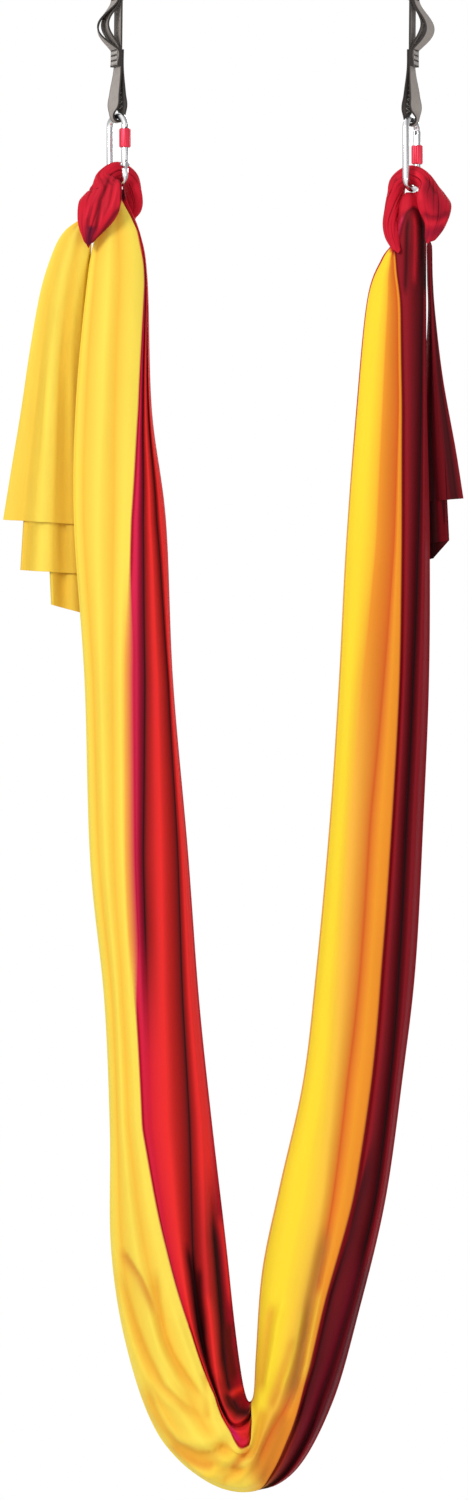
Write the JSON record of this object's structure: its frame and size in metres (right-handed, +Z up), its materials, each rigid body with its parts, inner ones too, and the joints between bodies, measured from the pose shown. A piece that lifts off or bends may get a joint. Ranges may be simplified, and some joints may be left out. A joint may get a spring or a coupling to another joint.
{
  "type": "aerial yoga hammock",
  "caption": "Hanging aerial yoga hammock: a gathered cloth sling knotted onto screw-lock carabiners, carried by sewn webbing straps with free tails of cloth.",
  "frame": {"origin": "midway between the two hooks, level with the inside of the straps' top loops", "axes": "+Z up, +X from the left strap to the right one, +Y away from the viewer"},
  "size_m": [0.6536, 0.1107, 2.2065],
  "materials": {
    "webbing": "woven, matt",
    "alloy": "polished",
    "steel": "satin",
    "red_alloy": "anodised",
    "crimson_cloth": "knitted, soft sheen",
    "yellow_cloth": "knitted, soft sheen",
    "dark_red_cloth": "knitted, soft sheen",
    "sling_cloth": "knitted, soft sheen, dyed from yellow to red"
  },
  "bodies": {
    "straps": {"left_strap_webbing": "webbing", "left_strap_pocket_loop": "webbing", "left_strap_side_loop": "webbing", "right_strap_webbing": "webbing", "right_strap_pocket_loop": "webbing", "right_strap_side_loop": "webbing"},
    "left_carabiner": {"left_carabiner_frame": "alloy"},
    "right_carabiner": {"right_carabiner_frame": "alloy"},
    "left_gate": {"left_carabiner_gate": "alloy", "left_hinge_rivet": "steel", "left_latch_pin": "steel", "left_gate_spring": "steel"},
    "left_sleeve": {"left_screw_sleeve": "red_alloy"},
    "left_pusher": {"left_gate_pusher": "steel"},
    "right_gate": {"right_carabiner_gate": "alloy", "right_hinge_rivet": "steel", "right_latch_pin": "steel", "right_gate_spring": "steel"},
    "right_sleeve": {"right_screw_sleeve": "red_alloy"},
    "right_pusher": {"right_gate_pusher": "steel"},
    "hammock": {"left_knot": "crimson_cloth", "right_knot": "crimson_cloth", "sling": "sling_cloth"},
    "left_tail": {"left_tail": "yellow_cloth"},
    "right_tail": {"right_tail": "dark_red_cloth"}
  },
  "joints": [
    {"name": "left_carabiner_swing", "type": "hinge", "parent": "straps", "child": "left_carabiner", "pos_m": [-0.211, 0, -0.2496], "axis": [0.9999, 0, -0.012], "range_deg": [-15, 15]},
    {"name": "right_carabiner_swing", "type": "hinge", "parent": "straps", "child": "right_carabiner", "pos_m": [0.2066, 0, -0.2546], "axis": [0.9999, 0, -0.012], "range_deg": [-15, 15]},
    {"name": "hammock_swing", "type": "hinge", "parent": "left_carabiner", "child": "hammock", "pos_m": [-0.211, 0, -0.3361], "axis": [0.9999, 0, -0.012], "range_deg": [-15, 15]},
    {"name": "left_gate_hinge", "type": "hinge", "parent": "left_carabiner", "child": "left_gate", "pos_m": [-0.19988, -0.02183, -0.3206], "axis": [-0.891, -0.454, 0], "range_deg": [0, 24], "stiffness_Nm_per_rad": 0.3, "springref_deg": -17.19},
    {"name": "left_sleeve_slide", "type": "slide", "parent": "left_gate", "child": "left_sleeve", "axis": [0, 0, 1], "range_m": [-0.0205, 0]},
    {"name": "left_pusher_slide", "type": "slide", "parent": "left_gate", "child": "left_pusher", "axis": [0, 0, 1], "range_m": [0, 0.001], "deforming": ["left_gate_spring"]},
    {"name": "right_gate_hinge", "type": "hinge", "parent": "right_carabiner", "child": "right_gate", "pos_m": [0.21538, 0.02287, -0.3256], "axis": [0.9336, -0.3584, 0], "range_deg": [0, 24], "stiffness_Nm_per_rad": 0.3, "springref_deg": -17.19},
    {"name": "right_sleeve_slide", "type": "slide", "parent": "right_gate", "child": "right_sleeve", "axis": [0, 0, 1], "range_m": [-0.006, 0.0143]},
    {"name": "right_pusher_slide", "type": "slide", "parent": "right_gate", "child": "right_pusher", "axis": [0, 0, 1], "range_m": [0, 0.001], "deforming": ["right_gate_spring"]},
    {"name": "left_tail_swing", "type": "hinge", "parent": "hammock", "child": "left_tail", "pos_m": [-0.257, -0.0105, -0.4004], "axis": [1, 0, 0], "range_deg": [0, 30]},
    {"name": "right_tail_swing", "type": "hinge", "parent": "hammock", "child": "right_tail", "pos_m": [0.2281, -0.024, -0.4357], "axis": [1, 0, 0], "range_deg": [0, 30]}
  ],
  "couplings": [
    {"joint": "right_carabiner_swing", "follows": "left_carabiner_swing", "ratio": 1},
    {"joint": "left_pusher_slide", "follows": "left_gate_hinge", "m_per_rad": 0.002387},
    {"joint": "right_pusher_slide", "follows": "right_gate_hinge", "m_per_rad": 0.002387}
  ]
}
